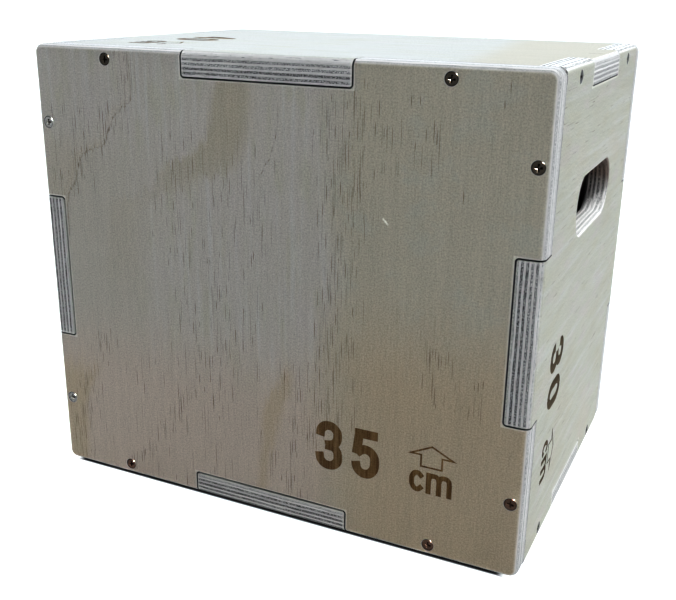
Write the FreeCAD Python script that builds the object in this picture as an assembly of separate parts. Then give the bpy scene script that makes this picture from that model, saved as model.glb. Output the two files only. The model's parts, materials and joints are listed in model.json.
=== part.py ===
import FreeCAD, Part
import os
from collections import namedtuple
from FreeCAD import Vector

# Three-height plywood plyo box in millimetres.
# The origin is the middle of the base, +Z is up and the front looks along -Y.

# Box: its three edge lengths are the three jump heights
box_width = 400.0
box_depth = 300.0
box_height = 350.0

# Plywood panels
ply_thickness = 18.0
edge_round = 5.0
face_corner_radius = 2.0

# Tab joints: one tab at the middle of every edge of the box
width_tab = 132.0
depth_tab = 99.0
height_tab = 115.5
joint_gap = 0.6
notch_corner_radius = 2.5

# Hand holes in the two end panels
hand_hole_length = 120.0
hand_hole_height = 42.0
hand_hole_corner_radius = 20.5
hand_hole_round = 3.0
hand_hole_drop = 103.5

# Countersunk wood screws with a cross recess
screw_head_diameter = 8.8
screw_head_rim = 0.4
screw_head_sink = 0.3
screw_shank_diameter = 4.5
screw_length = 40.0
screw_point_length = 6.0
screw_fit = 0.05
recess_span = 4.8
recess_wing = 1.2
recess_depth = 2.2
recess_floor_share = 0.45

# Every cut and every trimmed face runs past its panel by this much
cut_overrun = 2.0

# A corner radius takes at most this share of the side that carries it
corner_limit_share = 0.49

RIGHT = Vector(1, 0, 0)
BACK = Vector(0, 1, 0)
UP = Vector(0, 0, 1)

# One edge of the box: the panel notched there, the panel whose tab comes through it,
# the middle of the edge, the way into the notch, the way through the notched panel,
# and the lengths of the tab and of the notched panel along the edge
Joint = namedtuple("Joint", "name notched tabbed middle inward through tab edge")


def edge_joints():
    """The twelve edges, each with its tab, notch and pair of screws."""
    joints = []
    half_width = RIGHT * (box_width / 2)
    half_height = UP * (box_height / 2)
    end_panel_depth = box_depth - 2 * ply_thickness
    ends = (("top", UP, box_height), ("bottom", -UP, 0))
    for face, out in (("front", -BACK), ("back", BACK)):
        plane = out * (box_depth / 2)
        for end, away, level in ends:
            joints.append(Joint(f"{face}_{end}", face, end, plane + UP * level,
                                -away, -out, width_tab, box_width))
        for side, sign in (("left", -1), ("right", 1)):
            joints.append(Joint(f"{face}_{side}", face, side, plane + half_width * sign + half_height,
                                RIGHT * -sign, -out, height_tab, box_height))
    for side, sign in (("left", -1), ("right", 1)):
        for end, away, level in ends:
            joints.append(Joint(f"{side}_{end}", side, end, half_width * sign + UP * level,
                                -away, RIGHT * -sign, depth_tab, end_panel_depth))
    return joints


def placed(shape, joint, along=0, into=0):
    """Moves a shape drawn along X, into Y and through Z to a joint's edge."""
    run = joint.inward.cross(joint.through)
    spot = joint.middle + run * along + joint.inward * into
    turn = FreeCAD.Rotation(run, joint.inward, joint.through, "XYZ")
    shape.Placement = FreeCAD.Placement(spot, turn)
    return shape


def span_box(low, high):
    """Block between two corners."""
    size = high - low
    return Part.makeBox(size.x, size.y, size.z, low)


def rounded_outline(x0, x1, y0, y1, radii):
    """Closed rectangle in XY with its corners rounded, from the low corner round by X."""
    corners = [Vector(x0, y0), Vector(x1, y0), Vector(x1, y1), Vector(x0, y1)]
    bends = []
    for i, corner in enumerate(corners):
        back = (corners[i - 1] - corner).normalize()
        ahead = (corners[(i + 1) % len(corners)] - corner).normalize()
        radius = radii[i]
        centre = corner + (back + ahead) * radius
        crown = centre - (back + ahead).normalize() * radius
        bends.append((corner + back * radius, crown, corner + ahead * radius))
    edges = []
    for radius, bend, following in zip(radii, bends, bends[1:] + bends[:1]):
        start, crown, stop = bend
        if radius > 0:
            edges.append(Part.Arc(start, crown, stop).toShape())
        edges.append(Part.LineSegment(stop, following[0]).toShape())
    return Part.Wire(edges)


def outer_form(outline_radius):
    """Outside of the assembled box: outline corners first, then the round-over of all edges."""
    half = Vector(box_width / 2, box_depth / 2, 0)
    form = span_box(-half, half + UP * box_height)
    if outline_radius > edge_round:
        depthwise = [e for e in form.Edges if abs(e.tangentAt(e.FirstParameter).dot(BACK)) > 0.5]
        form = form.makeFillet(outline_radius, depthwise)
        rims = [e for e in form.Edges if e.BoundBox.YLength < edge_round]
        return form.makeFillet(edge_round, rims)
    return form.makeFillet(edge_round, form.Edges)


def edge_prism(length, depth, radius, start, stop):
    """Notch or tab section, open to the outside of the edge and round at its two inner corners."""
    radius = min(radius, depth * corner_limit_share, length * corner_limit_share)
    wire = rounded_outline(-length / 2, length / 2, -cut_overrun, depth, (0, 0, radius, radius))
    wire.translate(UP * start)
    return Part.Face(wire).extrude(UP * (stop - start))


def tab(joint):
    """Tab of one edge, rooted in its own panel and long enough to be trimmed flush."""
    inner_radius = max(notch_corner_radius - joint_gap, 0)
    prism = edge_prism(joint.tab, ply_thickness, inner_radius,
                       -cut_overrun, ply_thickness + cut_overrun)
    return placed(prism, joint)


def notch(joint):
    """Notch of one edge, wider and deeper than the tab by the joint gap."""
    prism = edge_prism(joint.tab + 2 * joint_gap, ply_thickness + joint_gap, notch_corner_radius,
                       -cut_overrun, ply_thickness + cut_overrun)
    return placed(prism, joint)


def screw_profile(top, grow):
    """Half section of a screw about Z, from its flat top down to its point."""
    head = screw_head_diameter / 2 + grow
    shank = screw_shank_diameter / 2 + grow
    cone_start = screw_head_sink + screw_head_rim
    cone_stop = cone_start + head - shank
    points = [Vector(0, 0, top), Vector(head, 0, top), Vector(head, 0, cone_start),
              Vector(shank, 0, cone_stop), Vector(shank, 0, screw_length - screw_point_length),
              Vector(0, 0, screw_length + grow)]
    return Part.Face(Part.makePolygon(points + points[:1]))


def cross_wire(span, wing, level):
    """Outline of a cross with four square-ended wings."""
    a = span / 2
    b = wing / 2
    quarter = [Vector(a, b, level), Vector(b, b, level), Vector(b, a, level)]
    points = []
    for turn in range(4):
        spin = FreeCAD.Rotation(UP, 90 * turn)
        points += [spin.multVec(p) for p in quarter]
    return Part.makePolygon(points + points[:1])


def screw_body():
    """One screw along Z with the cross recess sunk in its head."""
    body = screw_profile(screw_head_sink, 0).revolve(Vector(), UP, 360)
    floor = screw_head_sink + recess_depth
    mouth = cross_wire(recess_span, recess_wing, screw_head_sink)
    bottom = cross_wire(recess_span * recess_floor_share, recess_wing * recess_floor_share, floor)
    return body.cut(Part.makeLoft([mouth, bottom], True, True))


def screw_pair(joint, shape):
    """The shape at both shoulders of a notch, half way along each and half a panel deep."""
    along = (joint.edge + joint.tab) / 4
    return [placed(shape.copy(), joint, sign * along, ply_thickness / 2) for sign in (-1, 1)]


def panel_blanks():
    """The six panels as plain boards: front and back cover the rest, the ends stand full height."""
    over = cut_overrun
    w, d, h, t = box_width / 2, box_depth / 2, box_height, ply_thickness
    inner_w, inner_d = w - t, d - t
    return {
        "front": span_box(Vector(-w - over, -d - over, -over), Vector(w + over, -inner_d, h + over)),
        "back": span_box(Vector(-w - over, inner_d, -over), Vector(w + over, d + over, h + over)),
        "left": span_box(Vector(-w - over, -inner_d, -over), Vector(-inner_w, inner_d, h + over)),
        "right": span_box(Vector(inner_w, -inner_d, -over), Vector(w + over, inner_d, h + over)),
        "top": span_box(Vector(-inner_w, -inner_d, h - t), Vector(inner_w, inner_d, h + over)),
        "bottom": span_box(Vector(-inner_w, -inner_d, -over), Vector(inner_w, inner_d, t)),
    }


def with_hand_hole(panel, sign):
    """Cuts the hand hole through an end panel and rounds both of its rims."""
    outside = sign * box_width / 2
    inside = outside - sign * ply_thickness
    middle = box_height - hand_hole_drop
    length, height = hand_hole_length / 2, hand_hole_height / 2
    limit = min(hand_hole_length, hand_hole_height) * corner_limit_share
    radius = min(hand_hole_corner_radius, limit)
    wire = rounded_outline(-length, length, -height, height, [radius] * 4)
    cutter = Part.Face(wire).extrude(UP * (ply_thickness + 2 * cut_overrun))
    start = min(outside, inside) - cut_overrun
    turn = FreeCAD.Rotation(BACK, UP, RIGHT, "XYZ")
    cutter.Placement = FreeCAD.Placement(Vector(start, 0, middle), turn)
    panel = panel.cut(cutter)
    reach = cutter.BoundBox
    reach.enlarge(hand_hole_round)
    rims = [e for e in panel.Edges
            if e.BoundBox.XLength < hand_hole_round and reach.isInside(e.BoundBox)]
    return panel.makeFillet(hand_hole_round, rims)


def build_panels(joints):
    """Boards with tabs added, trimmed to the rounded outside, then holed, notched and drilled."""
    covers = outer_form(edge_round + face_corner_radius)
    core = outer_form(edge_round)
    drill = screw_profile(-cut_overrun, screw_fit).revolve(Vector(), UP, 360)
    panels = panel_blanks()
    for name in panels:
        tabs = [tab(j) for j in joints if j.tabbed == name]
        if tabs:
            panels[name] = panels[name].fuse(tabs).removeSplitter()
        panels[name] = panels[name].common(covers if name in ("front", "back") else core)
    panels["left"] = with_hand_hole(panels["left"], -1)
    panels["right"] = with_hand_hole(panels["right"], 1)
    for name in panels:
        notches = [notch(j) for j in joints if j.notched == name]
        bores = [s for j in joints if name in (j.notched, j.tabbed) for s in screw_pair(j, drill)]
        panels[name] = panels[name].cut(notches + bores)
    return panels


def save(node, shape):
    """Writes one node after a check that its solids are sound."""
    if not shape.isValid():
        raise ValueError(f"{node} is not a valid shape")
    shape.exportStep(f"parts/{node}.step")
    print(node, len(shape.Solids), "solids", round(shape.Volume), "mm3")


def main():
    os.makedirs("parts", exist_ok=True)
    joints = edge_joints()
    for name, panel in build_panels(joints).items():
        solid = panel.Solids[0] if len(panel.Solids) == 1 else panel
        save(f"{name}_panel", solid)
    screw = screw_body()
    for joint in joints:
        save(f"{joint.name}_screws", Part.makeCompound(screw_pair(joint, screw)))


main()
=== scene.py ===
import json
import math
import random
from collections import namedtuple

import bmesh
import bpy
from mathutils import Matrix, Vector

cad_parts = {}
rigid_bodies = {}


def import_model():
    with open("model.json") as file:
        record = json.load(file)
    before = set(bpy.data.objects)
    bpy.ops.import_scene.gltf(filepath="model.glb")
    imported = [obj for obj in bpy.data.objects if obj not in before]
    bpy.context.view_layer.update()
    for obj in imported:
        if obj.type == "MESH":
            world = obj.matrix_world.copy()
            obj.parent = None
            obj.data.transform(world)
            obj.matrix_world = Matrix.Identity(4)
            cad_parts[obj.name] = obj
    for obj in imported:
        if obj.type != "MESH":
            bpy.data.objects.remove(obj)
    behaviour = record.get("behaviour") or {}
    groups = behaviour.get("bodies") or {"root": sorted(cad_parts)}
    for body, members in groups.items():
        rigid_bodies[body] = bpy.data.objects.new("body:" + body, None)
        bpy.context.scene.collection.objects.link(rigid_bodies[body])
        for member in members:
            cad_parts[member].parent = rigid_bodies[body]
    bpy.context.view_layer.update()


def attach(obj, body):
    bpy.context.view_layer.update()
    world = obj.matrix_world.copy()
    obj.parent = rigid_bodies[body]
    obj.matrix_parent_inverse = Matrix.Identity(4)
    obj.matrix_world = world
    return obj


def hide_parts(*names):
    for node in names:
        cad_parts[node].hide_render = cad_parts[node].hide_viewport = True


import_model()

# Lengths are in millimetres until a finished mesh is put in its place in metres.
MM = 0.001
X, Y, Z = Vector((1, 0, 0)), Vector((0, 1, 0)), Vector((0, 0, 1))

# Box and its boards
WIDTH, DEPTH, HEIGHT = 400.0, 300.0, 350.0
BOARD = 18.0
PLIES = 11
EDGE_ROUND = 5.0
COVER_CORNER = 7.0
EDGE_BREAK = 0.9

# Joints: half lengths of the tabs, the gap round them and the corners of the notches
WIDTH_TAB, DEPTH_TAB, HEIGHT_TAB = 66.0, 49.5, 57.75
JOINT_GAP = 0.6
NOTCH_CORNER = 2.5

# Hand hole, about its own middle
HOLE_LEVEL = 71.5
HOLE_HALF_LENGTH, HOLE_HALF_HEIGHT = 60.0, 21.0
HOLE_CORNER = 20.5
HOLE_ROUND = 3.0

# Screws
HEAD, SHANK, CORE = 4.4, 2.25, 1.6
HEAD_SINK, HEAD_RIM = 0.3, 0.4
SCREW_LENGTH, POINT_LENGTH = 40.0, 6.0
THREAD_PITCH, THREAD_STEPS = 2.6, 18
SCREW_FIT, HEAD_EASE = 0.05, 0.45
CROSS_SPAN, CROSS_WING, CROSS_DEPTH, CROSS_FLOOR = 4.8, 1.2, 2.2, 0.45
HEAD_ROUND, CROSS_MOUTH, CROSS_TURN = 0.38, 0.24, 0.15
TOP_SCREW, COVER_SIDE_SCREW, END_SCREW = 133.0, 116.4, 90.75
SCREW_IN = BOARD / 2

# Burnt height marks
MARK_DEPTH = 0.22

# ---------------------------------------------------------------- shader helpers


class Wire:
    """A value in a material; sums written with it add Math nodes."""

    def __init__(self, shader, socket):
        self.shader = shader
        self.socket = socket

    def maths(self, operation, *terms):
        return self.shader.add("Math", {"operation": operation}, dict(enumerate(terms)))

    def __add__(self, other):
        return self.maths("ADD", self, other)

    def __radd__(self, other):
        return self.maths("ADD", other, self)

    def __sub__(self, other):
        return self.maths("SUBTRACT", self, other)

    def __rsub__(self, other):
        return self.maths("SUBTRACT", other, self)

    def __mul__(self, other):
        return self.maths("MULTIPLY", self, other)

    def __rmul__(self, other):
        return self.maths("MULTIPLY", other, self)

    def __truediv__(self, other):
        return self.maths("DIVIDE", self, other)

    def __pow__(self, other):
        return self.maths("POWER", self, other)

    def __mod__(self, other):
        return self.maths("FLOORED_MODULO", self, other)

    def __gt__(self, other):
        return self.maths("GREATER_THAN", self, other)

    def __lt__(self, other):
        return self.maths("LESS_THAN", self, other)

    def __abs__(self):
        return self.maths("ABSOLUTE", self)

    def __floor__(self):
        return self.maths("FLOOR", self)


class Shader:
    """The nodes of one material, and the node kinds that its finishes use."""

    def __init__(self, tree):
        self.tree = tree
        tree.nodes.clear()

    def add(self, kind, settings=None, inputs=None, out=0):
        """Adds a node, sets it up, fills or links its inputs and returns one output."""
        node = self.tree.nodes.new("ShaderNode" + kind)
        for key, value in (settings or {}).items():
            setattr(node, key, value)
        for key, value in (inputs or {}).items():
            if isinstance(value, Wire):
                self.tree.links.new(value.socket, node.inputs[key])
            else:
                node.inputs[key].default_value = value
        return Wire(self, node.outputs[out]) if node.outputs else None

    def other(self, wire, out):
        """Another output of the node that gave a value."""
        return Wire(self, wire.socket.node.outputs[out])

    def split(self, vector):
        parts = self.add("SeparateXYZ", None, {0: vector})
        return parts, self.other(parts, 1), self.other(parts, 2)

    def least(self, value, *others):
        for other in others:
            value = value.maths("MINIMUM", value, other)
        return value

    def most(self, value, *others):
        for other in others:
            value = value.maths("MAXIMUM", value, other)
        return value

    def limit(self, value, low, high):
        return self.add("Clamp", None, {0: value, 1: low, 2: high})

    def surface(self, sockets):
        """Closes a material with its shader."""
        shader = self.add("BsdfPrincipled", None, sockets)
        self.add("OutputMaterial", None, {"Surface": shader})

    def vector(self, operation, *terms, out=0):
        return self.add("VectorMath", {"operation": operation}, dict(enumerate(terms)), out)

    def dot(self, vector, axis):
        return self.vector("DOT_PRODUCT", vector, tuple(axis), out="Value")

    def point(self, x, y, z=0.0):
        return self.add("CombineXYZ", None, {0: x, 1: y, 2: z})

    def blend(self, share, low, high):
        """One value or the other by share."""
        return low + (high - low) * share

    def ramp(self, value, low, high, to_low=0.0, to_high=1.0):
        """Smooth step of a value from low to high."""
        return self.add("MapRange", {"interpolation_type": "SMOOTHSTEP"},
                        {0: value, 1: low, 2: high, 3: to_low, 4: to_high})

    def path(self, value, points):
        """Smooth line through points (value, result), all of them within 200 of zero."""
        def share(number):
            return number / 400 + 0.5
        line = self.add("FloatCurve", None, {"Value": share(value)})
        mapping = line.socket.node.mapping
        curve = mapping.curves[0]
        for point, (start, stop) in zip(curve.points, (points[0], points[-1])):
            point.location = share(start), share(stop)
        for start, stop in points[1:-1]:
            curve.points.new(share(start), share(stop))
        mapping.update()
        return (line - 0.5) * 400

    def noise(self, point, detail=2.0, rough=0.5):
        return self.add("TexNoise", {"noise_dimensions": "3D"},
                        {"Vector": point, "Scale": 1.0, "Detail": detail, "Roughness": rough})

    def chance(self, value):
        return self.add("TexWhiteNoise", {"noise_dimensions": "1D"}, {"W": value}, "Value")

    def mix(self, share, first, second, kind="MIX"):
        """Mixes two colours."""
        return self.add("Mix", {"data_type": "RGBA", "blend_type": kind},
                        {0: share, 6: first, 7: second}, 2)

    def grey(self, value):
        return self.add("CombineColor", None, {0: value, 1: value, 2: value})


def new_material(name):
    material = bpy.data.materials.new(name)
    material.use_nodes = True
    return material, Shader(material.node_tree)


def tint(red, green, blue):
    """Linear colour of a swatch given in 0-255 screen values."""
    def linear(value):
        share = value / 255
        return share / 12.92 if share <= 0.04045 else ((share + 0.055) / 1.055) ** 2.4
    return (linear(red), linear(green), linear(blue), 1.0)


# ---------------------------------------------------------------- the sides of the box

# One side: its own axes in the world, the middle of its outer face, how far the box and
# the plain board reach from there, the steps (half length, reach) cut or left at its level
# and upright edges, and whether its face grain runs upright
Side = namedtuple("Side", "across up middle box board steps upright")


def notch(half_tab):
    return half_tab + JOINT_GAP, -(BOARD + JOINT_GAP)


def tab(half_tab):
    return half_tab, BOARD


HW, HD, HH = WIDTH / 2, DEPTH / 2, HEIGHT / 2
COVER = dict(box=(HW, HH), board=(HW, HH), steps=(notch(WIDTH_TAB), notch(HEIGHT_TAB)), upright=True)
END = dict(box=(HD, HH), board=(HD - BOARD, HH), steps=(notch(DEPTH_TAB), tab(HEIGHT_TAB)), upright=False)
DECK = dict(box=(HW, HD), board=(HW - BOARD, HD - BOARD), steps=(tab(WIDTH_TAB), tab(DEPTH_TAB)),
            upright=False)
SIDES = {
    "front": Side(across=X, up=Z, middle=Vector((0, -HD, HH)), **COVER),
    "back": Side(across=-X, up=Z, middle=Vector((0, HD, HH)), **COVER),
    "right": Side(across=Y, up=Z, middle=Vector((HW, 0, HH)), **END),
    "left": Side(across=-Y, up=Z, middle=Vector((-HW, 0, HH)), **END),
    "top": Side(across=X, up=Y, middle=Vector((0, 0, HEIGHT)), **DECK),
    "bottom": Side(across=X, up=-Y, middle=Vector((0, 0, 0)), **DECK),
}


def outward(side):
    return side.across.cross(side.up)


def to_world(side):
    """Matrix from a side's own millimetres to the world in metres."""
    turn = Matrix((side.across, side.up, outward(side))).transposed().to_4x4()
    return Matrix.Scale(MM, 4) @ Matrix.Translation(side.middle) @ turn


def screw_rows(name):
    """The screws of a side: (node, board they hold, spots on the outer face)."""
    side = SIDES[name]
    half_across, half_up = side.box
    rows = []
    if name in ("front", "back"):
        for edge, sign in (("top", 1), ("bottom", -1)):
            level = sign * (half_up - SCREW_IN)
            rows.append((f"{name}_{edge}_screws", edge, [(-TOP_SCREW, level), (TOP_SCREW, level)]))
        for edge, sign in (("left", -1), ("right", 1)):
            place = sign * side.across.x * (half_across - SCREW_IN)
            rows.append((f"{name}_{edge}_screws", edge,
                         [(place, -COVER_SIDE_SCREW), (place, COVER_SIDE_SCREW)]))
    elif name in ("left", "right"):
        for edge, sign in (("top", 1), ("bottom", -1)):
            level = sign * (half_up - SCREW_IN)
            rows.append((f"{name}_{edge}_screws", edge, [(-END_SCREW, level), (END_SCREW, level)]))
    return rows


# ---------------------------------------------------------------- modelling helpers


def new_object(name, bm, materials):
    mesh = bpy.data.meshes.new(name)
    bm.to_mesh(mesh)
    bm.free()
    for material in materials:
        mesh.materials.append(material)
    piece = bpy.data.objects.new(name, mesh)
    bpy.context.scene.collection.objects.link(piece)
    return piece


def round_edges(bm, edges, radius, segments):
    bmesh.ops.bevel(bm, geom=edges, offset=radius, offset_type="OFFSET", segments=segments,
                    profile=0.5, affect="EDGES", material=-1, clamp_overlap=True)


def round_corners(bm, corners, radius, segments):
    bmesh.ops.bevel(bm, geom=corners, offset=radius, offset_type="OFFSET", segments=segments,
                    profile=0.5, affect="VERTICES", material=-1, clamp_overlap=True)


def middle_of(edge):
    return (edge.verts[0].co + edge.verts[1].co) / 2


def sharp_edges(bm, least):
    return [e for e in bm.edges if len(e.link_faces) == 2 and e.calc_face_angle() > least]


def thicken(bm, faces, drop):
    """Draws flat faces out to a closed board that goes down by drop."""
    grown = bmesh.ops.extrude_face_region(bm, geom=faces, use_keep_orig=True)
    lower = [g for g in grown["geom"] if isinstance(g, bmesh.types.BMVert)]
    bmesh.ops.translate(bm, verts=lower, vec=(0, 0, -drop))
    bmesh.ops.recalc_face_normals(bm, faces=bm.faces[:])
    return lower


def carve(piece, cutters):
    """Takes the cutters out of a piece; the cut faces get the cutters' materials."""
    for cutter in cutters:
        cut = piece.modifiers.new(cutter.name, "BOOLEAN")
        cut.operation = "DIFFERENCE"
        cut.solver = "EXACT"
        cut.material_mode = "TRANSFER"
        cut.object = cutter
    depsgraph = bpy.context.evaluated_depsgraph_get()
    mesh = bpy.data.meshes.new_from_object(piece.evaluated_get(depsgraph))
    piece.modifiers.clear()
    old = piece.data
    piece.data = mesh
    bpy.data.meshes.remove(old)
    mesh.name = piece.name
    for cutter in cutters:
        bpy.data.meshes.remove(cutter.data)


def shown_form(piece):
    """Mesh of an object with its modifiers, as a bmesh."""
    depsgraph = bpy.context.evaluated_depsgraph_get()
    mesh = bpy.data.meshes.new_from_object(piece.evaluated_get(depsgraph))
    bm = bmesh.new()
    bm.from_mesh(mesh)
    bpy.data.meshes.remove(mesh)
    return bm


def finish_piece(piece, nodes, sharp_from):
    """Shades a piece, puts it on the box and hides the CAD nodes it takes the place of."""
    for polygon in piece.data.polygons:
        polygon.use_smooth = True
    piece.data.set_sharp_from_angle(angle=math.radians(sharp_from))
    shade = piece.modifiers.new("flat_faces_stay_flat", "WEIGHTED_NORMAL")
    shade.keep_sharp = True
    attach(piece, "root")
    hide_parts(*nodes)


# ---------------------------------------------------------------- boards


def board_outline(side, split):
    """Corners of a board, the tabs and notches of its four edges among them, and the two points
    where a level line through the hand hole meets its upright edges."""
    a, b = side.board
    corners = [Vector((-a, -b)), Vector((a, -b)), Vector((a, b)), Vector((-a, b))]
    points = []
    for i, start in enumerate(corners):
        stop = corners[(i + 1) % 4]
        along = (stop - start).normalized()
        out = Vector((along.y, -along.x))
        half, reach = side.steps[i % 2]
        middle = (start + stop) / 2
        points.append(start)
        if split is not None and i == 3:
            points.append(Vector((-a, split)))
        points += [middle - along * half, middle - along * half + out * reach,
                   middle + along * half + out * reach, middle + along * half]
        if split is not None and i == 1:
            points.append(Vector((a, split)))
    return points


def board_faces(bm, side, has_hole):
    """Flat face of a board; a hand hole splits it in an upper and a lower half."""
    points = board_outline(side, HOLE_LEVEL if has_hole else None)
    ring = [bm.verts.new((p.x, p.y, 0)) for p in points]
    if not has_hole:
        bm.faces.new(ring)
        return
    right = points.index(Vector((side.board[0], HOLE_LEVEL)))
    left = points.index(Vector((-side.board[0], HOLE_LEVEL)))
    l, h = HOLE_HALF_LENGTH, HOLE_HALF_HEIGHT
    hole = [bm.verts.new((u, HOLE_LEVEL + v, 0))
            for u, v in ((-l, 0), (-l, h), (l, h), (l, 0), (l, -h), (-l, -h))]
    bm.faces.new(ring[right:left + 1] + hole[:4])
    bm.faces.new(ring[left:] + ring[:right + 1] + hole[3:] + hole[:1])


def build_board(name):
    """One board: outline, corners, thickness, round-over of the box edges and hand hole rims."""
    side = SIDES[name]
    is_cover, is_end = name in ("front", "back"), name in ("left", "right")
    bm = bmesh.new()
    board_faces(bm, side, is_end)
    reach_u, reach_v = side.box

    def in_hole(spot, spare):
        return (abs(spot.x) < HOLE_HALF_LENGTH + spare
                and abs(spot.y - HOLE_LEVEL) < HOLE_HALF_HEIGHT + spare)

    def on_box_edge(spot):
        at_u, at_v = reach_u - abs(spot.x), reach_v - abs(spot.y)
        corner = is_cover and max(at_u, at_v) < COVER_CORNER
        return min(at_u, at_v) < 0.01 or corner

    notch_u, notch_v = side.steps[1][1] < 0, side.steps[0][1] < 0
    inner = []
    for v in bm.verts:
        at_u, at_v = reach_u - abs(v.co.x), reach_v - abs(v.co.y)
        deep = BOARD + JOINT_GAP
        if (notch_u and abs(at_u - deep) < 0.01 and abs(v.co.y) < reach_v - deep
                or notch_v and abs(at_v - deep) < 0.01 and abs(v.co.x) < reach_u - deep):
            inner.append(v)
    round_corners(bm, inner, NOTCH_CORNER, 6)
    if is_cover:
        outer = [v for v in bm.verts if abs(v.co.x) > reach_u - 0.01 and abs(v.co.y) > reach_v - 0.01]
        round_corners(bm, outer, COVER_CORNER, 10)
    if is_end:
        round_corners(bm, [v for v in bm.verts if in_hole(v.co, 0.01)
                           and abs(v.co.y - HOLE_LEVEL) > 1], HOLE_CORNER, 20)
    thicken(bm, bm.faces[:], BOARD)

    tab_inner = [e for e in bm.edges
                 if abs(e.verts[0].co.z + BOARD) < 0.01 and abs(e.verts[1].co.z + BOARD) < 0.01
                 and (side.steps[1][1] > 0 and abs(middle_of(e).x) > side.board[0] + 1
                      and abs(e.verts[0].co.y - e.verts[1].co.y) < 0.01
                      or side.steps[0][1] > 0 and abs(middle_of(e).y) > side.board[1] + 1
                      and abs(e.verts[0].co.x - e.verts[1].co.x) < 0.01)]
    if tab_inner:
        round_edges(bm, tab_inner, NOTCH_CORNER - JOINT_GAP, 4)
    rim = [e for e in bm.edges if abs(e.verts[0].co.z) < 0.01 and abs(e.verts[1].co.z) < 0.01
           and on_box_edge(middle_of(e))]
    round_edges(bm, rim, EDGE_ROUND, 10)
    if is_end:
        holes = [e for e in bm.edges if in_hole(e.verts[0].co, 0.01) and in_hole(e.verts[1].co, 0.01)
                 and abs(e.verts[0].co.z - e.verts[1].co.z) < 0.01]
        round_edges(bm, holes, HOLE_ROUND, 6)
    round_edges(bm, sharp_edges(bm, 0.9), EDGE_BREAK, 3)
    bmesh.ops.recalc_face_normals(bm, faces=bm.faces[:])
    bm.transform(to_world(side))
    return bm


# ---------------------------------------------------------------- screws


def turned(profile, segments):
    """Closed round body from its half section (radius, height), top to bottom."""
    bm = bmesh.new()
    points = [bm.verts.new((r, 0, z)) for r, z in profile]
    edges = [bm.edges.new(pair) for pair in zip(points, points[1:])]
    bmesh.ops.spin(bm, geom=points + edges, cent=(0, 0, 0), axis=(0, 0, 1), angle=math.tau,
                   steps=segments, use_merge=True)
    bmesh.ops.remove_doubles(bm, verts=bm.verts[:], dist=1e-4)
    bmesh.ops.recalc_face_normals(bm, faces=bm.faces[:])
    return bm


def drill_body():
    """Space that one screw takes in the boards, from above the face to past its point."""
    head, shank = HEAD + SCREW_FIT, SHANK + SCREW_FIT
    start = -(HEAD_SINK + HEAD_RIM)
    return turned([(0, 1), (head + 1 + HEAD_EASE, 1), (head, -HEAD_EASE), (head, start), (shank, start - head + shank),
                   (shank, POINT_LENGTH - SCREW_LENGTH), (0, -SCREW_LENGTH - SCREW_FIT)], 40)


def cross_recess():
    """Tapered cross that the driver leaves in a head, with a rounded mouth."""
    bm = bmesh.new()
    a, b, soft = CROSS_SPAN / 2, CROSS_WING / 2, CROSS_MOUTH
    steps = [(a + soft + 0.3, b + soft + 0.3, 0.3)]
    for turn in (15, 35, 60, 90):
        grow, drop = soft * (1 - math.sin(math.radians(turn))), soft * (1 - math.cos(math.radians(turn)))
        steps.append((a + grow, b + grow, -drop))
    steps.append((a * CROSS_FLOOR, b * CROSS_FLOOR, -CROSS_DEPTH))
    rings = []
    for long, short, level in steps:
        quarter = [Vector((long, -short, 0)), Vector((long, short, 0)), Vector((short, short, 0))]
        spins = [Matrix.Rotation(math.pi / 2 * turn, 3, "Z") for turn in range(4)]
        lift = Vector((0, 0, level - HEAD_SINK))
        rings.append([bm.verts.new(spin @ p + lift) for spin in spins for p in quarter])
    for upper, lower in zip(rings, rings[1:]):
        for i, corner in enumerate(upper):
            bm.faces.new((upper[i - 1], corner, lower[i], lower[i - 1]))
    bm.faces.new(rings[0])
    bm.faces.new(rings[-1])
    bmesh.ops.recalc_face_normals(bm, faces=bm.faces[:])
    return bm


def thread_body():
    """Ridge of the thread, wound round the core of a screw."""
    bm = bmesh.new()
    top, bottom = -14.0, POINT_LENGTH - SCREW_LENGTH
    turns = (top - bottom) / THREAD_PITCH
    ridge = [bm.verts.new((CORE - 0.2, 0, top + 0.5)), bm.verts.new((SHANK, 0, top)),
             bm.verts.new((CORE - 0.2, 0, top - 0.5))]
    face = bm.faces.new(ridge)
    steps = int(turns * THREAD_STEPS)
    bmesh.ops.spin(bm, geom=[face], cent=(0, 0, 0), axis=(0, 0, 1), angle=math.tau * turns,
                   dvec=(0, 0, (bottom - top) / steps), steps=steps, use_duplicate=False)
    bmesh.ops.remove_doubles(bm, verts=bm.verts[:], dist=1e-4)
    bmesh.ops.recalc_face_normals(bm, faces=bm.faces[:])
    return bm


def screw_mesh(material):
    """One countersunk wood screw along its own axis, its head just under the face."""
    start = -(HEAD_SINK + HEAD_RIM)
    body = turned([(0, -HEAD_SINK), (HEAD, -HEAD_SINK), (HEAD, start), (SHANK, start - HEAD + SHANK),
                   (SHANK, -12.0), (CORE, -13.0), (CORE, POINT_LENGTH - SCREW_LENGTH),
                   (0, -SCREW_LENGTH)], 40)
    rims = [e for e in body.edges
            if all(v.co.xy.length > HEAD - 0.01 and v.co.z > start + 0.01 for v in e.verts)]
    round_edges(body, rims, HEAD_ROUND, 6)
    blank = new_object("screw_blank", body, [material])
    carve(blank, [new_object("cross_recess", cross_recess(), [material])])
    whole = thread_body()
    whole.from_mesh(blank.data)
    bpy.data.meshes.remove(blank.data)
    mesh = bpy.data.meshes.new("screw")
    whole.to_mesh(mesh)
    whole.free()
    return mesh


# ---------------------------------------------------------------- burnt height marks

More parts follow.
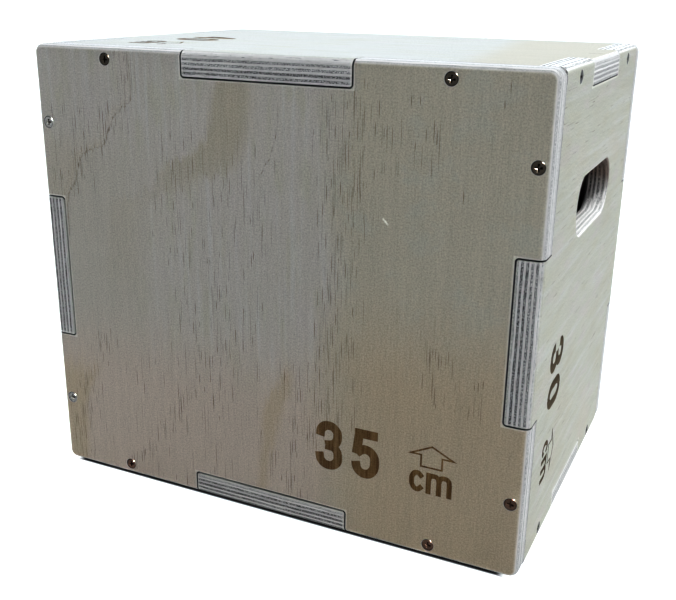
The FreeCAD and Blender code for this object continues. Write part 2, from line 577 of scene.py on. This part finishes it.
# Strokes of the figures and of the unit, as points from each one's low left corner;
# a curved stroke bends smoothly through its points
FIGURES = {
    "3": [(True, [(4.2, 26.6), (5.6, 33.0), (11.2, 36.1), (17.2, 33.4), (18.6, 28.6), (16.4, 22.4), (8.6, 19.8)]),
          (True, [(8.6, 19.8), (16.6, 18.2), (19.0, 11.6), (17.2, 6.0), (11.2, 3.5), (5.4, 6.2), (3.6, 13.0)])],
    "5": [(False, [(2.4, 35.7), (20.6, 35.7)]),
          (False, [(6.1, 36.0), (3.9, 18.6)]),
          (True, [(3.9, 19.2), (8.0, 22.6), (12.0, 23.4), (17.0, 20.6), (18.6, 14.4), (16.8, 6.8), (11.4, 3.5),
                  (5.4, 6.0), (3.4, 12.4)])],
    "0": [(True, [(11.4, 3.5), (5.6, 7.0), (3.5, 19.8), (5.6, 32.6), (11.4, 36.1)]),
          (True, [(9.8, 36.1), (15.6, 32.6), (17.7, 19.8), (15.6, 7.0), (9.8, 3.5)])],
    "4": [(False, [(15.2, 0.0), (15.2, 39.6)]),
          (False, [(14.0, 37.4), (2.8, 12.2)]),
          (False, [(0.0, 11.4), (22.0, 11.4)])],
}
FIGURE_PITCH, FIGURE_STROKE = 30.0, 7.1
UNIT = [(True, [(10.0, 5.0), (5.8, 1.9), (2.4, 5.0), (1.9, 8.6), (2.4, 12.2), (5.8, 15.3), (10.0, 12.2)]),
        (False, [(14.7, 0.0), (14.7, 17.0)]),
        (True, [(14.7, 10.8), (15.8, 14.2), (18.6, 15.1), (21.4, 14.2), (22.5, 10.8)]),
        (False, [(22.5, 11.0), (22.5, 0.0)]),
        (True, [(22.5, 10.8), (23.6, 14.2), (26.4, 15.1), (29.2, 14.2), (30.3, 10.8)]),
        (False, [(30.3, 11.0), (30.3, 0.0)])]
UNIT_LEFT, UNIT_STROKE = 75.8, 3.8
ARROW = [(8.2, 20.4), (25.3, 20.4), (25.3, 29.4), (35.6, 29.4), (16.8, 38.5), (-1.6, 29.4), (8.2, 29.4)]
ARROW_LEFT, ARROW_LINE = 75.3, 1.3


def stroke_cutter(curved, points, left, width, place, material):
    """One stroke of a mark: a thin standing wall along its line, thickened to the stroke's width."""
    curve = bpy.data.curves.new("stroke", "CURVE")
    curve.dimensions, curve.fill_mode = "2D", "NONE"
    curve.extrude, curve.resolution_u = MARK_DEPTH, 6
    line = curve.splines.new("BEZIER")
    line.bezier_points.add(len(points) - 1)
    handle = "AUTO" if curved else "VECTOR"
    for point, (u, v) in zip(line.bezier_points, points):
        point.co = (left + u, v, 0)
        point.handle_left_type = point.handle_right_type = handle
    drawn = bpy.data.objects.new("stroke", curve)
    bpy.context.scene.collection.objects.link(drawn)
    bm = shown_form(drawn)
    bpy.data.curves.remove(curve)
    bmesh.ops.remove_doubles(bm, verts=bm.verts[:], dist=1e-3)
    wall = new_object("stroke_wall", bm, [])
    thick = wall.modifiers.new("stroke_width", "SOLIDIFY")
    thick.thickness, thick.offset, thick.use_even_offset = width, 0.0, True
    bm = shown_form(wall)
    bpy.data.meshes.remove(wall.data)
    bmesh.ops.recalc_face_normals(bm, faces=bm.faces[:])
    bm.transform(place)
    return new_object("stroke_cutter", bm, [material])


def arrow_cutter(place, material):
    """Outline of an upward arrow, a thin line all round."""
    bm = bmesh.new()
    face = bm.faces.new([bm.verts.new((ARROW_LEFT + u, v, MARK_DEPTH)) for u, v in ARROW])
    bm.normal_update()
    bmesh.ops.inset_region(bm, faces=[face], thickness=ARROW_LINE, use_even_offset=True,
                            use_boundary=True)
    bmesh.ops.delete(bm, geom=[face], context="FACES_ONLY")
    thicken(bm, bm.faces[:], 2 * MARK_DEPTH)
    bm.transform(place)
    return new_object("arrow_cutter", bm, [material])


def mark_cutters(number, place, material):
    """Everything of one height mark: figures, arrow and unit, in reading direction from (0, 0)."""
    rows = [(stroke, i * FIGURE_PITCH, FIGURE_STROKE) for i, digit in enumerate(number)
            for stroke in FIGURES[digit]]
    rows += [(stroke, UNIT_LEFT, UNIT_STROKE) for stroke in UNIT]
    cutters = [stroke_cutter(*stroke, left, width, place, material) for stroke, left, width in rows]
    return cutters + [arrow_cutter(place, material)]


# ---------------------------------------------------------------- finishes

# Veneer, core and burn swatches
PALE, COOL, MOSS = tint(187, 181, 173), tint(185, 183, 177), tint(184, 182, 170)
TAN, FLAME, SAGE = tint(182, 175, 160), tint(176, 168, 153), tint(180, 178, 167)
OLIVE, LILAC, FAWN = tint(181, 177, 161), tint(188, 181, 176), tint(182, 176, 166)
BROWN, PINK = tint(182, 168, 147), tint(190, 178, 166)
# The scuff swatch also serves for the painted highlights along the joint rims
SCUFF_AND_RIM_HIGHLIGHT, FROST = tint(242, 240, 232), tint(190, 189, 187)
DASH = tint(96, 75, 54)
CORE_WOOD = tint(230, 226, 223)
GLUE = tint(112, 108, 104)
VOID = tint(30, 26, 22)
# Near-black painted shade for the joints
PAINTED_JOINT_SHADE = tint(10, 9, 8)
# Painted shade for the upper walls of the hand holes
PAINTED_HOLE_SHADE = tint(128, 108, 94)
BURN, LIGHT_BURN = tint(142, 119, 92), tint(186, 166, 138)
# The third bronze swatch is the painted shade of the higher screws
BRONZE, TARNISH, PAINTED_HIGH_SCREW_SHADE = tint(94, 75, 63), tint(72, 58, 50), tint(52, 50, 44)
BLACKING, RUBBED_BLACK = tint(40, 36, 32), tint(62, 54, 46)
STEEL, DULL_STEEL = tint(148, 147, 143), tint(108, 107, 104)

# Grain lines of the front veneer: places across it at heights from its middle
FIRST_LINE = [(10, -180), (34, -179), (56, -178), (73, -169), (85, -165), (94, -160), (99, -150), (102, -140),
              (112, -134), (121, -129), (129, -123), (133, -118), (137, -112), (150, -111), (170, -112)]
SECOND_LINE = [(88, -7), (97, -1), (107, 5), (115, 8), (126, 10.5), (145, 11.5), (165, 12)]
LOW_LINE = [(-165, -178), (-138, -176), (-120, -175), (-106, -171), (-87, -161), (-70, -152), (-55, -148)]
ARCH_LINE = [(-150, -115), (-136, -102), (-115, -88), (-92, -77), (-79, -62), (-63, -48), (-47, -36), (-25, -27)]
FLAME_LEFT = [(-5, -145), (39, -140), (61, -134), (66, -124), (72, -103), (83, -93), (95, -80), (106, -57),
              (123, -46), (139, -43), (165, -37)]
FLAME_RIGHT = [(0, -109), (43, -107), (65, -99), (76, -71), (87, -51), (99, -23), (109, -18), (126, -13), (165, -11)]
STREAK_LEFT = [(-155, -10), (-128, -7), (-113, -5), (-85, -4), (-64, 8), (-42, 15)]
STREAK_RIGHT = [(-155, -1), (-126, 2), (-110, 7), (-97, 10), (-81, 14), (-66, 20), (-42, 20)]

# Patches of open vessels on the front: place and half size across, then along, and how many
PATCHES = [(56, 24, 35, 150, 0.58), (71, 9, 105, 62, 0.5), (104, 30, 130, 32, 0.32), (28, 12, -120, 42, 0.65),
           (135, 14, -31, 26, 0.7), (156, 14, -44, 14, 0.7), (-45, 60, 20, 120, 0.34), (-95, 95, -120, 70, 0.2),
           (-165, 32, 100, 40, 0.35), (-125, 14, 145, 40, 0.3), (38, 30, -72, 34, 0.6), (14, 24, -135, 34, 0.6)]

# Short cracks of the front: place across it, height and half length
CRACKS = [(170.6, 164, 5.5), (167.6, 155, 5.5), (145, 94, 6)]


def near_line(s, off, half, soft):
    """Share that falls from one at a line to nothing past its half width."""
    return 1 - s.ramp(abs(off), half * soft, half)


def between(s, cross, left, right, soft):
    """Share of the wood between two grain lines, the right one soft."""
    return s.ramp(cross - left, -3.0, 5.0) * s.ramp(right - cross, -soft, soft)


def vessels(s, a, c, layer, keep, length, pitch, thin):
    """Dark open vessels along the grain, as many as keep lets through."""
    column = c / pitch + layer * 5.3
    cell = s.point(a / (length * 2.4) + s.chance(math.floor(column) + 0.5) * 40, column)
    near = s.add("TexVoronoi", {"voronoi_dimensions": "2D", "feature": "F1"},
                 {"Vector": cell, "Scale": 1.0, "Randomness": 1.0}, "Position")
    pick = s.split(s.other(near, "Color"))
    gap = s.split(s.vector("SUBTRACT", cell, near))
    run = gap[0] * 2.4 / (0.2 + 0.8 * pick[1])
    wide = gap[1] * pitch / (thin + thin * pick[2])
    line = 1 - s.ramp(run * run + wide * wide, 0.15, 1.0)
    return line * s.ramp(keep - pick[0], 0.0, 0.12)


def plain_figure(s, along, cross, feather):
    """Veneer without marked bands: its tints, dark lines and share of open vessels."""
    zone = s.noise(s.point(cross / 60, (along + feather) / 90, 3.0), 1.0)
    tints = [(s.ramp(zone, 0.5, 0.75) * 0.5, TAN), (s.ramp(zone, 0.45, 0.25) * 0.3, PINK)]
    return tints, 0.0, 0.03 + zone * 0.16


def front_figure(s, along, cross, feather):
    """Front veneer: a tan flame and jagged grain lines on the left, browner wood low and right."""
    far, near = along + feather, along + feather * 0.35
    zone = s.noise(s.point(cross / 60, along / 110, 5.0), 1.0)
    first, second = cross - s.path(near, FIRST_LINE), cross - s.path(near, SECOND_LINE)
    low, arch = cross - s.path(near, LOW_LINE), cross - s.path(near, ARCH_LINE)

    flame = between(s, cross, s.path(far, FLAME_LEFT), s.path(far, FLAME_RIGHT), 9.0)
    flame = flame * s.ramp(along, 55.0, 120.0, 0.3, 1.0) * s.ramp(along, -40.0, 20.0)
    streak = between(s, cross, s.path(far, STREAK_LEFT), s.path(far, STREAK_RIGHT), 5.0) * s.ramp(along, -36.0, -60.0)
    # painted floor reflection: the front turns pinker towards the bottom
    low_pink_reflection = s.ramp(far, -10.0, -95.0)
    tan = s.ramp(cross + (zone - 0.5) * 50, 36.0, 72.0)
    patch = s.noise(s.point(cross / 34, along / 30, 2.0), 3.0, 0.6)
    brown = s.ramp(cross, 15.0, 100.0) * s.ramp(far, 40.0, -55.0)
    brown = brown + s.ramp(low, 4.0, -4.0) * s.ramp(far, -70.0, -100.0) * 0.9
    brown = brown + s.ramp(first, 2.0, -6.0) * s.ramp(far, 112.0, 95.0) * s.ramp(far, 40.0, 60.0) * 0.15
    rub_along, rub_off = (cross - along - 21) * 0.7, (cross + along - 164.2) * 0.7
    rub = near_line(s, rub_along, 4.0, 0.3) * near_line(s, rub_off + s.noise(s.point(cross, along), 1.0), 1.1, 0.3)
    halo = near_line(s, first + 3, 7.0, 0.1) * s.ramp(along, 30.0, 60.0) * 0.18
    tints = [(s.ramp(cross, -70.0, -140.0) * s.ramp(far, 125.0, 80.0), FAWN), (low_pink_reflection, PINK), (tan, TAN),
             (tan * s.ramp(patch, 0.5, 0.64) * 0.5, SAGE), (brown + halo + streak * 0.8, BROWN),
             (flame, FLAME), (rub * 0.9, SCUFF_AND_RIM_HIGHLIGHT)]

    line = near_line(s, first, 1.4, 0.1) * s.ramp(along, 5.0, 40.0) * s.ramp(along, 172.0, 130.0)
    line = line + near_line(s, second, 0.8, 0.1) * s.ramp(along, 86.0, 95.0) * s.ramp(along, 150.0, 128.0) * 0.8
    line = line + near_line(s, low, 1.0, 0.1) * s.ramp(along, -145.0, -125.0) * s.ramp(along, -58.0, -75.0) * 0.15
    for place, half, share in ((68.0, 1.0, 0.7), (74.5, 0.8, 0.55), (62.0, 0.8, 0.4)):
        wander = (s.noise(s.point(along / 45, place), 2.0) - 0.5) * 9
        broken = s.ramp(s.noise(s.point(along / 16, place + 3), 2.0), 0.42, 0.56)
        reach = s.ramp(along, 30.0, 60.0) * s.ramp(along, 168.0, 140.0)
        line = line + near_line(s, cross - place + wander, half, 0.1) * broken * reach * share
    for place, height, half in CRACKS:
        line = line + near_line(s, cross - place, 0.6, 0.3) * near_line(s, along - height, half, 0.7)
    keep = 0.04 + near_line(s, arch, 11.0, 0.3) * s.ramp(along, -22.0, -40.0) * 0.6
    keep = keep + near_line(s, first + 6, 16.0, 0.3) * s.ramp(along, 30.0, 60.0) * 0.5
    keep = keep + near_line(s, low + 4, 16.0, 0.4) * s.ramp(along, -40.0, -60.0) * 0.6
    for place, half_place, height, half_height, share in PATCHES:
        keep = keep + near_line(s, cross - place, half_place, 0.5) * near_line(s, far - height, half_height, 0.6) * share
    return tints, line, s.limit(keep, 0.0, 0.75)


def top_figure(s, along, cross, feather):
    """Top veneer: cool and even, with a yellower end on the right."""
    zone = s.noise(s.point(along / 120, cross / 40, 8.0), 1.0)
    yellow = s.ramp(along + cross * 0.14 + feather * 0.4, 104.0, 134.0)
    crack = near_line(s, cross + 1.5, 1.0, 0.4) * near_line(s, along - 191.0, 5.5, 0.7)
    return [(yellow * 0.9 + s.ramp(zone, 0.55, 0.8) * 0.2, TAN)], crack * 2, zone * 0.1


def past_hole(s, u, v):
    """Nothing in a hand hole and on its rims, one past them."""
    past_end = s.ramp(abs(u), HOLE_HALF_LENGTH + 3.5, HOLE_HALF_LENGTH + 5)
    past_rim = s.ramp(abs(v - HOLE_LEVEL), HOLE_HALF_HEIGHT + 3.5, HOLE_HALF_HEIGHT + 5)
    return s.most(past_end, past_rim)


def painted_joint_shade(s, spot, u, v, side, face):
    """Painted shade on what lies in the joints, deeper than their eased edges."""
    reach = (HW - EDGE_ROUND, HD - EDGE_ROUND, HH - EDGE_ROUND)
    past = s.vector("SUBTRACT", s.vector("ABSOLUTE", s.vector("SUBTRACT", spot, (0, 0, HH))), reach)
    round_part = s.vector("LENGTH", s.vector("MAXIMUM", past, (0, 0, 0)), out="Value")
    inside = EDGE_ROUND - round_part - s.least(s.most(*s.split(past)), 0.0)
    deep = s.ramp(inside, 0.05, 0.3) * s.ramp(face, 0.97, 0.85)
    deep = deep * s.ramp(s.most(side.box[0] - abs(u), side.box[1] - abs(v)), 8.0, 10.0)
    if side.across.x == 0:
        seam = near_line(s, abs(u) - side.board[0], 3.0, 0.5) * s.ramp(abs(v), HEIGHT_TAB, HEIGHT_TAB + 2)
        deep = deep * past_hole(s, u, v) * (1 - seam * 0.92)
    return deep


def painted_rim_highlights(s, u, v, depth, side):
    """Painted highlights: whitish lines along the joints, on the faces round the notches and on the ends of the tabs.
    """
    rims = 0.0
    for (half, reach), past, along in zip(side.steps, (side.box[1] - abs(v), side.box[0] - abs(u)),
                                          (abs(u), abs(v))):
        if reach < 0:
            off = s.most(along - half, past + reach)
            rims = rims + s.ramp(off, 1.8, 1.1) * s.ramp(depth, 0.4, 0.1) * 0.45
        else:
            off = half - along
            if side.middle.z < HEIGHT:
                off = s.least(off, BOARD - depth)
            rims = rims + s.ramp(off, 1.8, 1.2) * s.ramp(past, 1.2, 0.6) * 0.6
    return s.limit(rims, 0.0, 1.0)


def plywood(name, side, seed, base, figure, core, char=None):
    """Solid plywood: plies by depth, each with its own grain, so faces, edges and cuts agree."""
    material, s = new_material(name)
    spot = s.vector("MULTIPLY", s.add("TexCoord", out="Object"), (1 / MM,) * 3)
    own = s.vector("SUBTRACT", spot, tuple(side.middle))
    u, v, depth = s.dot(own, side.across), s.dot(own, side.up), s.dot(own, -outward(side))
    normal = s.add("TexCoord", out="Normal")
    face = abs(s.dot(normal, outward(side)))
    look_u, look_v = abs(s.dot(normal, side.across)), abs(s.dot(normal, side.up))
    along, cross, look_along, look_cross = u, v, look_u, look_v
    if side.upright:
        along, cross, look_along, look_cross = v, u, look_v, look_u

    # which ply, and which way its fibres run
    wave = s.noise(s.point(u / 45, v / 45, depth / 9 + seed), 2.0)
    sheet = (depth + (wave - 0.5) * 1.4) * (PLIES / BOARD)
    sheet = s.limit(sheet, 0.01, PLIES - 0.01)
    ply = math.floor(sheet)
    crosswise = ply % 2
    layer = ply * 3.7 + seed
    a = s.blend(crosswise, along, cross)
    c = s.blend(crosswise, cross, along)
    end = s.ramp(s.blend(crosswise, look_along, look_cross), 0.35, 0.9)
    cut = s.ramp(face, 0.97, 0.75)

    # figure of the face veneer
    streak = s.noise(s.point(a / 110, c / 5.0, depth / 3 + layer), 3.0)
    fibre = s.noise(s.point(a / 15, c / 1.0, depth / 0.8 + layer), 3.0, 0.6)
    feather = (s.noise(s.point(a / 50, c / 5.5, layer), 4.0, 0.75) - 0.5) * 44
    mottle = s.noise(s.point(u / 1.2, v / 1.2, depth / 1.2), 2.0, 0.7)
    cloud = s.noise(s.point((a + feather) / 45, c / 13, layer + 1.7), 2.0)
    tints, line, keep = figure(s, along, cross, feather)
    colour = s.mix(s.ramp(cloud, 0.52, 0.7) * 0.6, base, OLIVE)
    colour = s.mix(s.ramp(cloud, 0.48, 0.3) * 0.6, colour, LILAC)
    colour = s.mix(s.ramp(streak, 0.48, 0.72) * 0.4, colour, FROST)
    for share, swatch in tints:
        colour = s.mix(s.limit(share, 0, 1), colour, swatch)
    open_lines = vessels(s, a, c, layer, keep, 12.0, 2.2, 0.18) + vessels(s, a + 7, c, layer + 2, keep, 22.0, 1.6, 0.13) * 0.9
    dark = s.limit(open_lines + line * s.ramp(fibre, 0.42, 0.62), 0, 1) * (1 - cut)
    colour = s.mix(dark * 0.75, colour, DASH)
    shade = 1 + (fibre - 0.5) * 0.34 + (streak - 0.5) * 0.16 + (mottle - 0.5) * 0.95
    colour = s.mix(1.0, colour, s.grey(shade), "MULTIPLY")

    # cut edges: streaky plies, speckled where their fibres end, with glue lines and torn hollows
    run = s.blend(look_u > look_v, u, v)
    luck = s.chance(layer * 1.31)
    streaks = s.noise(s.point(run / 24, depth / 0.5, layer), 3.0, 0.7)
    specks = s.noise(s.point(run, depth / 0.7, layer), 2.0, 0.6)
    tone = (s.blend(end, 0.4 + streaks * 1.3, s.ramp(specks, 0.3, 0.7) * 0.85) + (luck - 0.5) * 0.4) * core
    sanded = 0.0
    if side.upright:
        sanded = 0.55
        # Painted highlight: the outer millimetre of the cover plies is brightened; the plies grow darker towards the
        # inner face.
        tone = s.blend(sanded, tone, 0.78) * s.ramp(depth, 0.3, 1.4, 1.4, 1.05) * s.ramp(depth, 12.0, 17.0, 1.0, 0.7)
    elif side.up.z == 0:
        sanded = s.ramp(abs(s.dot(normal, X)), 0.6, 0.9) * 0.5
        # Painted light from above: the upper part of a deck's cut edges is brighter, the lower part darker.
        below, lit_from_above_reach = (depth, 9.0) if side.middle.z > 0 else (BOARD - depth, 4.5)
        tone = s.blend(s.ramp(below, lit_from_above_reach, 1.0), tone * s.ramp(below, 8.0, 17.0, 1.0, 0.72), 1.05)
        tone = s.blend(sanded, tone, 0.72)
    else:
        tone = tone * s.ramp(depth, 0.5, 5.0, 0.66, 0.95)
    tone = s.limit(tone, 0.0, 1.15)
    edge = s.mix(1.0, CORE_WOOD, s.grey(tone), "MULTIPLY")
    part = sheet % 1.0
    glue = 1 - s.ramp(0.5 - abs(part - 0.5), 0.0, 0.12)
    torn = s.noise(s.point(run / 10, depth / 0.45, layer + 7), 2.0, 0.6)
    torn = s.ramp(torn, 0.58, 0.68) * (0.35 + end * 0.6) * (1.0 - sanded)
    edge = s.mix(torn, s.mix(glue * 0.4, edge, GLUE), VOID)
    if side.upright:
        stained = near_line(s, depth - 6.6 + (wave - 0.5) * 1.4, 0.55, 0.3) * s.ramp(run + feather, -30.0, -60.0)
        edge = s.mix(stained * 0.75, edge, VOID)
    if side.across.x == 0:
        # Painted light in the hand hole: its walls are painted darker towards the top as shade, and its lower walls
        # paler as a lit patch.
        in_hole = 1 - past_hole(s, u, v)
        hole_top_shade = s.ramp(v, HOLE_LEVEL - 12, HOLE_LEVEL + 8) * in_hole
        edge = s.mix(hole_top_shade * 0.9, edge, s.mix(1.0, edge, PAINTED_HOLE_SHADE, "MULTIPLY"))
        edge = s.mix(s.ramp(v, HOLE_LEVEL - 8, HOLE_LEVEL - 20) * in_hole * 0.45, edge, CORE_WOOD)
    colour = s.mix(cut, colour, edge)
    # painted highlight: whitish lines along the joint rims
    colour = s.mix(painted_rim_highlights(s, u, v, depth, side), colour, SCUFF_AND_RIM_HIGHLIGHT)
    # painted shade: the joints are darkened nearly to black below the outside of the box
    colour = s.mix(painted_joint_shade(s, spot, u, v, side, face) * 0.95, colour, PAINTED_JOINT_SHADE)

    rough = 0.52 + fibre * 0.14 + dark * 0.1
    height = fibre * 0.35 + streak * 0.25 - dark * 0.6
    height = height - cut * (glue * 0.4 + torn * 2.0 + (1 - specks) * end * 0.6)
    gloss = 0.4
    if char:
        burn = s.mix(s.ramp(streak + fibre * 0.6, 0.6, 1.05), BURN, LIGHT_BURN)
        colour = s.mix(1.0, colour, s.mix(1.0, burn, (char, char, char, 1), "MULTIPLY"), "MULTIPLY")
        rough, gloss = rough + 0.12, 0.08
    bump = s.add("Bump", None, {"Strength": 0.5, "Distance": 0.00025, "Height": height})
    s.surface({"Base Color": colour, "Roughness": rough, "Specular IOR Level": gloss, "Normal": bump})
    return material


def screw_finish(name, dull, bright, dark=None, metal=1.0):
    """Plated or blacked steel, worn brighter in places by the driver."""
    material, s = new_material(name)
    spot = s.vector("MULTIPLY", s.add("TexCoord", out="Object"), (1 / MM,) * 3)
    cloud = s.noise(spot, 3.0, 0.6)
    colour = s.mix(s.ramp(cloud, 0.42, 0.68), dull, bright)
    # Painted shade and reflection: screws are painted darker the higher they sit, leaving the lower ones browner.
    if dark:
        colour = s.mix(s.ramp(s.split(spot)[2], 120.0, 300.0) * 0.8, colour, dark)
    rough = 0.16 + 0.14 * s.noise(s.vector("MULTIPLY", spot, (3.0, 3.0, 3.0)), 2.0)
    bump = s.add("Bump", None, {"Strength": 0.25, "Distance": 0.0001, "Height": cloud})
    s.surface({"Base Color": colour, "Metallic": metal, "Roughness": rough, "Normal": bump,
               "Coat Weight": 0.25 * metal, "Coat Roughness": 0.14, "Specular IOR Level": 0.1})
    return material


# ---------------------------------------------------------------- the box

# Height marks: start from the side's middle, whether they read downwards, and how light the burn is
UPRIGHT_MARK = ("35", 40.9, -124.0, False, 1.12)
END_MARK = ("30", -103.0, -16.0, True, 0.5)
DECK_MARK = ("40", -147.0, 4.0, True, 1.2)
MARKS = {"front": UPRIGHT_MARK, "back": UPRIGHT_MARK, "right": END_MARK, "left": END_MARK,
         "top": DECK_MARK, "bottom": DECK_MARK}

FIGURE_OF = {"front": front_figure, "top": top_figure}
CORE_OF = {"left": 0.85, "right": 1.35, "top": 1.3}
BASE_OF = {"top": COOL, "bottom": COOL, "right": MOSS, "left": MOSS}


def make_boards():
    for number, (name, side) in enumerate(SIDES.items()):
        seed = 11.3 * number + 2.0
        finish = seed, BASE_OF.get(name, PALE), FIGURE_OF.get(name, plain_figure), CORE_OF.get(name, 1.0)
        wood = plywood(f"plywood_{name}", side, *finish)
        text, left, low, down, char = MARKS[name]
        burnt = plywood(f"burnt_mark_{name}", side, *finish, char=char)
        board = new_object(f"{name}_board", build_board(name), [wood])

        drills = bmesh.new()
        drill = bpy.data.meshes.new("drill")
        blank = drill_body()
        blank.to_mesh(drill)
        blank.free()
        for other in SIDES:
            for _, held, spots in screw_rows(other):
                if name not in (other, held):
                    continue
                for spot in spots:
                    fresh = bmesh.new()
                    fresh.from_mesh(drill)
                    fresh.transform(to_world(SIDES[other]) @ Matrix.Translation((*spot, 0)))
                    fresh.to_mesh(bore_mesh)
                    fresh.free()
                    drills.from_mesh(bore_mesh)
        bpy.data.meshes.remove(drill)

        place = to_world(side) @ Matrix.Translation((left, low, 0))
        if down:
            place = place @ Matrix.Rotation(-math.pi / 2, 4, "Z")
        carve(board, [new_object("drill_cutter", drills, [wood])])
        carve(board, mark_cutters(text, place, burnt))
        finish_piece(board, [f"{name}_panel"], 35)


def make_screws():
    bronze = screw_finish("bronze_plated_steel", TARNISH, BRONZE, PAINTED_HIGH_SCREW_SHADE)
    blacked = screw_finish("blacked_steel", BLACKING, RUBBED_BLACK, metal=0.0)
    # A lighter steel for the front's left pair, standing in for the brighter reflection on those heads.
    reflection_bright_steel = screw_finish("rubbed_steel", DULL_STEEL, STEEL)
    screw = screw_mesh(bronze)
    turns = random.Random(7)
    for name, side in SIDES.items():
        for node, _, spots in screw_rows(name):
            pair = bmesh.new()
            for spot in spots:
                fresh = bmesh.new()
                fresh.from_mesh(screw)
                fresh.transform(to_world(side) @ Matrix.Translation((*spot, 0))
                                @ Matrix.Rotation(turns.uniform(-CROSS_TURN, CROSS_TURN), 4, "Z"))
                fresh.to_mesh(bore_mesh)
                fresh.free()
                pair.from_mesh(bore_mesh)
            if node == "front_left_screws":
                piece = new_object(f"{node}_plated", pair, [reflection_bright_steel])
            elif side.upright:
                piece = new_object(f"{node}_plated", pair, [bronze])
            else:
                piece = new_object(f"{node}_blacked", pair, [blacked])
            finish_piece(piece, [node], 35)
    bpy.data.meshes.remove(screw)


# ---------------------------------------------------------------- floor, light and camera


def make_floor():
    material, s = new_material("studio_floor")
    x, y, _ = s.split(s.vector("ABSOLUTE", s.vector("MULTIPLY", s.add("TexCoord", out="Object"), (1 / MM,) * 3)))
    # Painted contact shadow: the floor is near black under the box, reaching just past its front and back bottom
    # edges.
    clear = s.most(s.ramp(x, HW - 16, HW - 7), s.ramp(y, HD - 1, HD + 1.5))
    colour = s.mix(clear, (0.02, 0.02, 0.02, 1), (0.93, 0.93, 0.93, 1))
    s.surface({"Base Color": colour, "Roughness": 0.9, "Specular IOR Level": 0.1})
    bm = bmesh.new()
    bmesh.ops.create_circle(bm, cap_ends=True, segments=96, radius=60.0)
    floor = new_object("floor", bm, [material])


# Lamps: strength, spread in degrees, the way towards the lamp, its tint, and what it lights
LAMPS = [("floor_wash", 4.15, 12.0, (-0.02, -0.06, 1.0), (0.96, 1.0, 1.03), "floor"),
         ("key", 4.07, 25.0, (0.375, 0.08, 0.927), (0.95, 1.0, 1.03), "board"),
         ("screw_glint", 120.0, 15.0, (0.45, -0.65, 0.61), (1.0, 1.0, 1.0), "plated")]


def make_light():
    world = bpy.data.worlds.new("studio")
    bpy.context.scene.world = world
    world.use_nodes = True
    s = Shader(world.node_tree)
    lift = s.dot(s.add("TexCoord", out="Generated"), Vector((-0.40, 0.86, 0.32)).normalized())
    glow = s.ramp(lift, 0.55, 0.98) * 2.2
    soft = s.add("Background", None, {"Color": (0.88, 0.97, 1.07, 1), "Strength": glow + 0.05})
    white = s.add("Background", None, {"Color": (1, 1, 1, 1), "Strength": 1.2})
    sky = s.add("MixShader", None, {0: s.add("LightPath", out="Is Camera Ray"), 1: soft, 2: white})
    s.add("OutputWorld", None, {"Surface": sky})
    for name, strength, spread, way, lamp_tint, target in LAMPS:
        lamp = bpy.data.lights.new(name, "SUN")
        lamp.energy, lamp.angle = strength, math.radians(spread)
        lamp.color, lamp.use_shadow = lamp_tint, target != "floor"
        light = bpy.data.objects.new(name, lamp)
        light.rotation_euler = Vector(way).to_track_quat("Z", "Y").to_euler()
        bpy.context.scene.collection.objects.link(light)
        lit = bpy.data.collections.new(f"lit_by_{name}")
        for piece in bpy.context.scene.objects:
            if piece.name.endswith(target):
                lit.objects.link(piece)
        light.light_linking.receiver_collection = lit


def make_camera():
    lens = bpy.data.cameras.new("photo_camera")
    lens.sensor_width, lens.sensor_fit, lens.lens = 36.0, "HORIZONTAL", 49.118
    lens.clip_start, lens.clip_end = 0.05, 200.0
    camera = bpy.data.objects.new("photo_camera", lens)
    right = Vector((0.90204, 0.43145, 0.0131))
    back = Vector((0.40432, -0.85518, 0.32434))
    place = Matrix((right, back.cross(right), back)).transposed().to_4x4()
    place.translation = Vector((319.08, -701.66, 395.16)) * MM
    camera.matrix_world = place
    bpy.context.scene.collection.objects.link(camera)
    bpy.context.scene.camera = camera


bore_mesh = bpy.data.meshes.new("placing")
make_camera()
make_boards()
make_screws()
bpy.data.meshes.remove(bore_mesh)
make_floor()
make_light()
settings = bpy.context.scene.view_settings
settings.view_transform = "Standard"
settings.look = "None"
settings.gamma = 0.637
